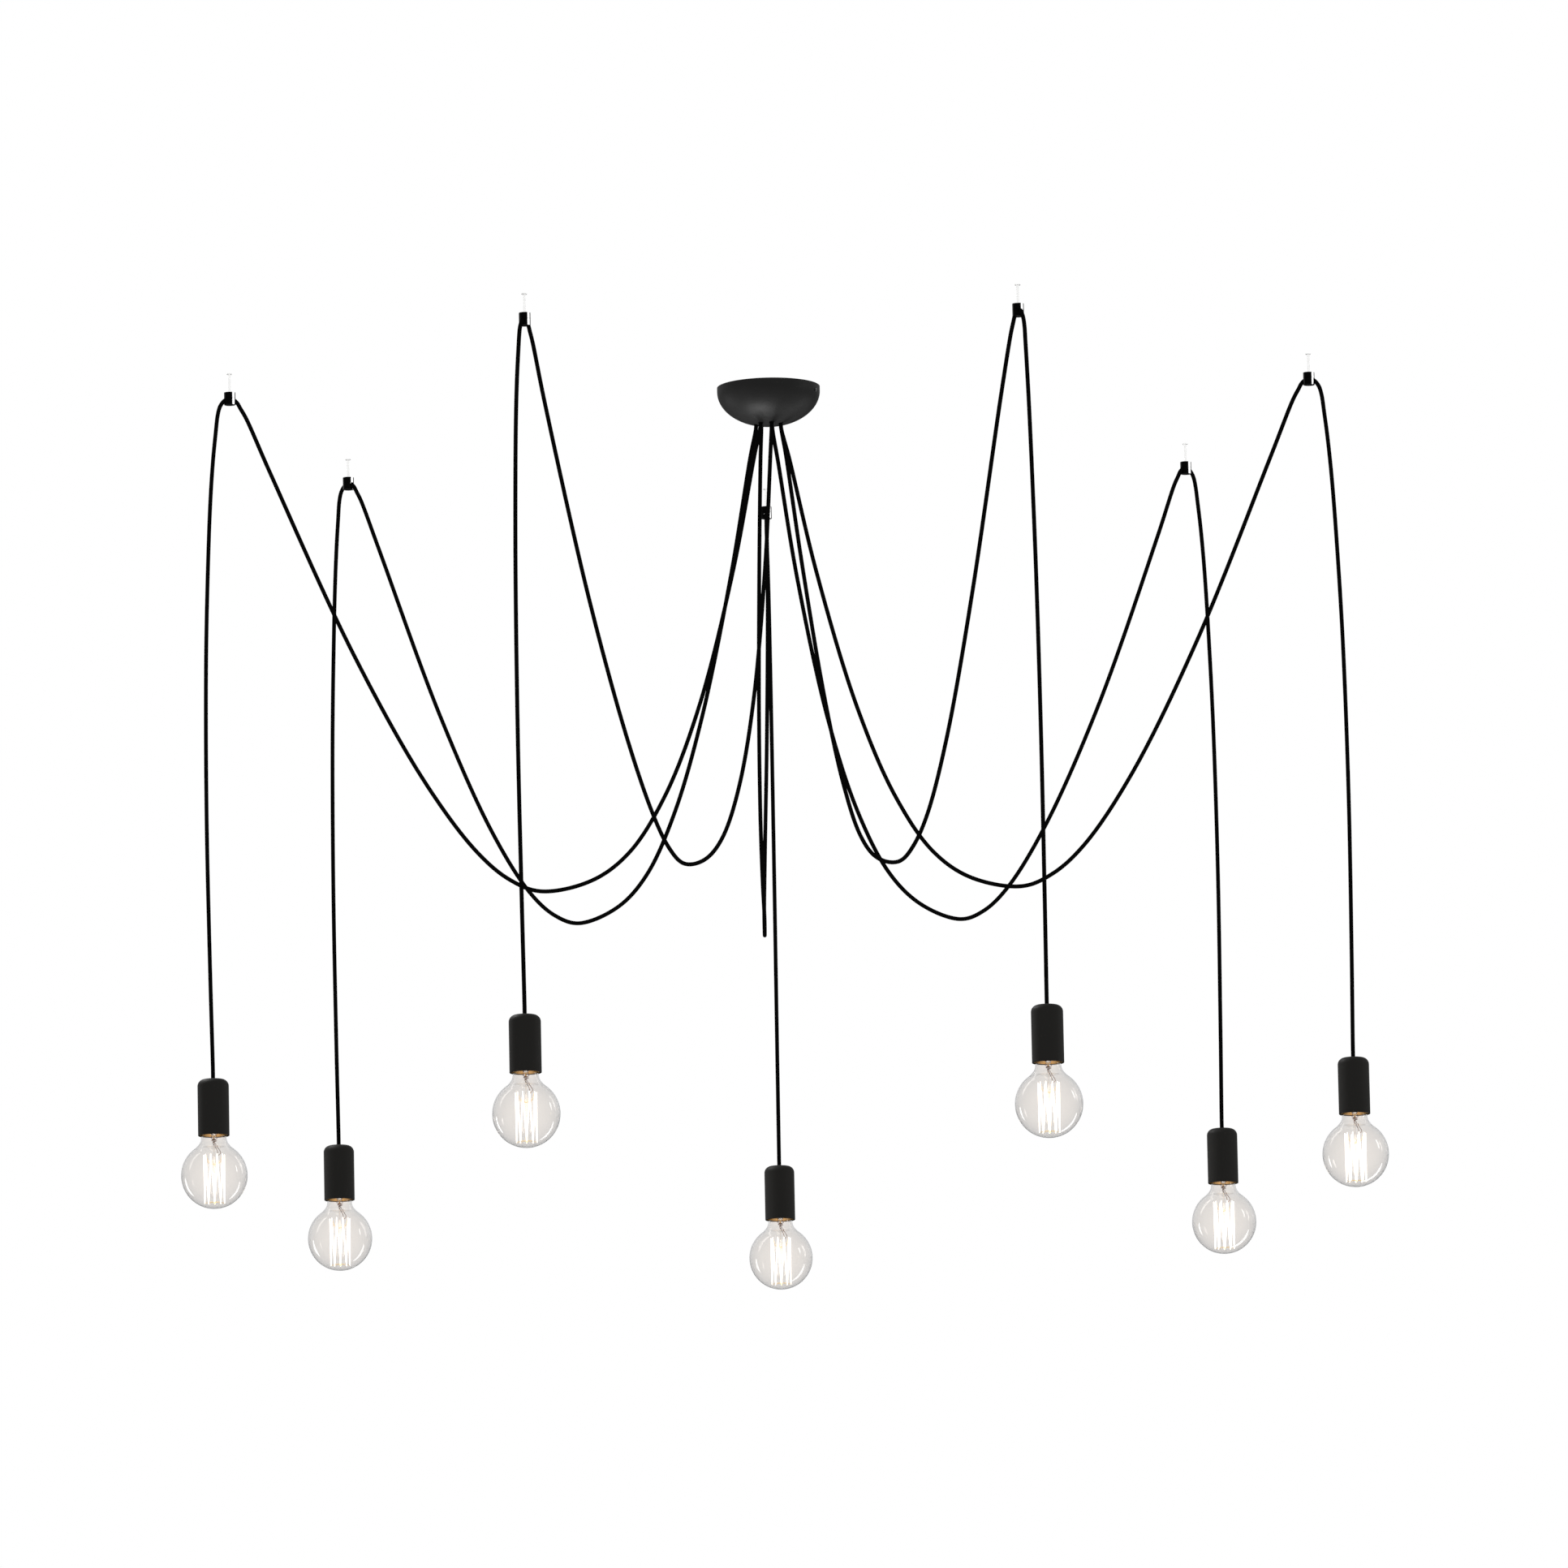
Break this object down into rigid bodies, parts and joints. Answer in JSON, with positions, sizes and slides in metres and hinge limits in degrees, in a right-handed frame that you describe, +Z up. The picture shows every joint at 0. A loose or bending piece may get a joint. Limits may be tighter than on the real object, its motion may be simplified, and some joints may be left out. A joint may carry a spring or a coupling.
{
  "type": "spider pendant light",
  "caption": "Ceiling light: cords swag from a round canopy over small ceiling holders and drop to bare globe bulbs in slim black lampholders.",
  "frame": {"origin": "centre of the canopy at the ceiling, on the top face of the ceiling bracket", "axes": "+Z up into the ceiling, +Y along the first arm, towards the back; the other arms follow anticlockwise seen from above"},
  "size_m": [1.726, 1.6873, 1.2155],
  "materials": {
    "powder_coat": "fine matte powder coat, dark grey",
    "zinc_steel": "bright zinc plate",
    "pale_nylon": "moulded, off-white",
    "textile_cord": "braided textile sleeve, black",
    "gloss_black_plastic": "polished moulded, black",
    "matte_black_plastic": "moulded, satin black",
    "clear_glass": "clear blown glass",
    "brass": "bright plated cap, warm"
  },
  "bodies": {
    "root": {"canopy_dome": "powder_coat", "ceiling_bracket": "zinc_steel", "side_screw_1": "zinc_steel", "side_screw_2": "zinc_steel", "ceiling_screw_1": "zinc_steel", "ceiling_screw_2": "zinc_steel", "terminal_block": "pale_nylon", "terminal_screw": "zinc_steel", "cord_grip_base": "pale_nylon", "cord_grip_cover": "pale_nylon", "grip_screw": "zinc_steel", "cord_swag_1": "textile_cord", "cable_holder_top_1": "gloss_black_plastic", "cable_holder_base_1": "gloss_black_plastic", "cord_swag_2": "textile_cord", "cable_holder_top_2": "gloss_black_plastic", "cable_holder_base_2": "gloss_black_plastic", "cord_swag_3": "textile_cord", "cable_holder_top_3": "gloss_black_plastic", "cable_holder_base_3": "gloss_black_plastic", "cord_swag_4": "textile_cord", "cable_holder_top_4": "gloss_black_plastic", "cable_holder_base_4": "gloss_black_plastic", "cord_swag_5": "textile_cord", "cable_holder_top_5": "gloss_black_plastic", "cable_holder_base_5": "gloss_black_plastic", "cord_swag_6": "textile_cord", "cable_holder_top_6": "gloss_black_plastic", "cable_holder_base_6": "gloss_black_plastic", "cord_swag_7": "textile_cord", "cable_holder_top_7": "gloss_black_plastic", "cable_holder_base_7": "gloss_black_plastic"},
    "pendant_1": {"cord_drop_1": "textile_cord", "lampholder_1": "matte_black_plastic"},
    "bulb_1": {"bulb_glass_1": "clear_glass"},
    "bulb_cap_1": {"bulb_base_1": "brass"},
    "pendant_2": {"cord_drop_2": "textile_cord", "lampholder_2": "matte_black_plastic"},
    "bulb_2": {"bulb_glass_2": "clear_glass"},
    "bulb_cap_2": {"bulb_base_2": "brass"},
    "pendant_3": {"cord_drop_3": "textile_cord", "lampholder_3": "matte_black_plastic"},
    "bulb_3": {"bulb_glass_3": "clear_glass"},
    "bulb_cap_3": {"bulb_base_3": "brass"},
    "pendant_4": {"cord_drop_4": "textile_cord", "lampholder_4": "matte_black_plastic"},
    "bulb_4": {"bulb_glass_4": "clear_glass"},
    "bulb_cap_4": {"bulb_base_4": "brass"},
    "pendant_5": {"cord_drop_5": "textile_cord", "lampholder_5": "matte_black_plastic"},
    "bulb_5": {"bulb_glass_5": "clear_glass"},
    "bulb_cap_5": {"bulb_base_5": "brass"},
    "pendant_6": {"cord_drop_6": "textile_cord", "lampholder_6": "matte_black_plastic"},
    "bulb_6": {"bulb_glass_6": "clear_glass"},
    "bulb_cap_6": {"bulb_base_6": "brass"},
    "pendant_7": {"cord_drop_7": "textile_cord", "lampholder_7": "matte_black_plastic"},
    "bulb_7": {"bulb_glass_7": "clear_glass"},
    "bulb_cap_7": {"bulb_base_7": "brass"}
  },
  "joints": [
    {"name": "pendant_1_swing", "type": "hinge", "parent": "root", "child": "pendant_1", "pos_m": [0, 0.8, -0.0371], "axis": [0, 1, 0], "range_deg": [-12, 12]},
    {"name": "bulb_1_travel", "type": "slide", "parent": "pendant_1", "child": "bulb_1", "axis": [0, 0, -1], "range_m": [0, 0.025]},
    {"name": "bulb_1_turn", "type": "hinge", "parent": "bulb_1", "child": "bulb_cap_1", "pos_m": [0, 0.838, -1.1], "axis": [0, 0, -1], "range_deg": [0, 2480.1]},
    {"name": "pendant_2_swing", "type": "hinge", "parent": "root", "child": "pendant_2", "pos_m": [-0.62547, 0.49879, -0.0371], "axis": [-0.7818, 0.6235, 0], "range_deg": [-12, 12]},
    {"name": "bulb_2_travel", "type": "slide", "parent": "pendant_2", "child": "bulb_2", "axis": [0, 0, -1], "range_m": [0, 0.025]},
    {"name": "bulb_2_turn", "type": "hinge", "parent": "bulb_2", "child": "bulb_cap_2", "pos_m": [-0.65517, 0.52248, -1.1], "axis": [0, 0, -1], "range_deg": [0, 2480.1]},
    {"name": "pendant_3_swing", "type": "hinge", "parent": "root", "child": "pendant_3", "pos_m": [-0.77994, -0.17802, -0.0371], "axis": [-0.9749, -0.2225, 0], "range_deg": [-12, 12]},
    {"name": "bulb_3_travel", "type": "slide", "parent": "pendant_3", "child": "bulb_3", "axis": [0, 0, -1], "range_m": [0, 0.025]},
    {"name": "bulb_3_turn", "type": "hinge", "parent": "bulb_3", "child": "bulb_cap_3", "pos_m": [-0.81699, -0.18647, -1.1], "axis": [0, 0, -1], "range_deg": [0, 2480.1]},
    {"name": "pendant_4_swing", "type": "hinge", "parent": "root", "child": "pendant_4", "pos_m": [-0.34711, -0.72078, -0.0371], "axis": [-0.4339, -0.901, 0], "range_deg": [-12, 12]},
    {"name": "bulb_4_travel", "type": "slide", "parent": "pendant_4", "child": "bulb_4", "axis": [0, 0, -1], "range_m": [0, 0.025]},
    {"name": "bulb_4_turn", "type": "hinge", "parent": "bulb_4", "child": "bulb_cap_4", "pos_m": [-0.36359, -0.75501, -1.1], "axis": [0, 0, -1], "range_deg": [0, 2480.1]},
    {"name": "pendant_5_swing", "type": "hinge", "parent": "root", "child": "pendant_5", "pos_m": [0.34711, -0.72078, -0.0371], "axis": [0.4339, -0.901, 0], "range_deg": [-12, 12]},
    {"name": "bulb_5_travel", "type": "slide", "parent": "pendant_5", "child": "bulb_5", "axis": [0, 0, -1], "range_m": [0, 0.025]},
    {"name": "bulb_5_turn", "type": "hinge", "parent": "bulb_5", "child": "bulb_cap_5", "pos_m": [0.36359, -0.75501, -1.1], "axis": [0, 0, -1], "range_deg": [0, 2480.1]},
    {"name": "pendant_6_swing", "type": "hinge", "parent": "root", "child": "pendant_6", "pos_m": [0.77994, -0.17802, -0.0371], "axis": [0.9749, -0.2225, 0], "range_deg": [-12, 12]},
    {"name": "bulb_6_travel", "type": "slide", "parent": "pendant_6", "child": "bulb_6", "axis": [0, 0, -1], "range_m": [0, 0.025]},
    {"name": "bulb_6_turn", "type": "hinge", "parent": "bulb_6", "child": "bulb_cap_6", "pos_m": [0.81699, -0.18647, -1.1], "axis": [0, 0, -1], "range_deg": [0, 2480.1]},
    {"name": "pendant_7_swing", "type": "hinge", "parent": "root", "child": "pendant_7", "pos_m": [0.62547, 0.49879, -0.0371], "axis": [0.7818, 0.6235, 0], "range_deg": [-12, 12]},
    {"name": "bulb_7_travel", "type": "slide", "parent": "pendant_7", "child": "bulb_7", "axis": [0, 0, -1], "range_m": [0, 0.025]},
    {"name": "bulb_7_turn", "type": "hinge", "parent": "bulb_7", "child": "bulb_cap_7", "pos_m": [0.65517, 0.52248, -1.1], "axis": [0, 0, -1], "range_deg": [0, 2480.1]}
  ],
  "couplings": [
    {"joint": "bulb_1_turn", "follows": "bulb_1_travel", "rad_per_m": 1731.4},
    {"joint": "bulb_2_turn", "follows": "bulb_2_travel", "rad_per_m": 1731.4},
    {"joint": "bulb_3_turn", "follows": "bulb_3_travel", "rad_per_m": 1731.4},
    {"joint": "bulb_4_turn", "follows": "bulb_4_travel", "rad_per_m": 1731.4},
    {"joint": "bulb_5_turn", "follows": "bulb_5_travel", "rad_per_m": 1731.4},
    {"joint": "bulb_6_turn", "follows": "bulb_6_travel", "rad_per_m": 1731.4},
    {"joint": "bulb_7_turn", "follows": "bulb_7_travel", "rad_per_m": 1731.4}
  ]
}
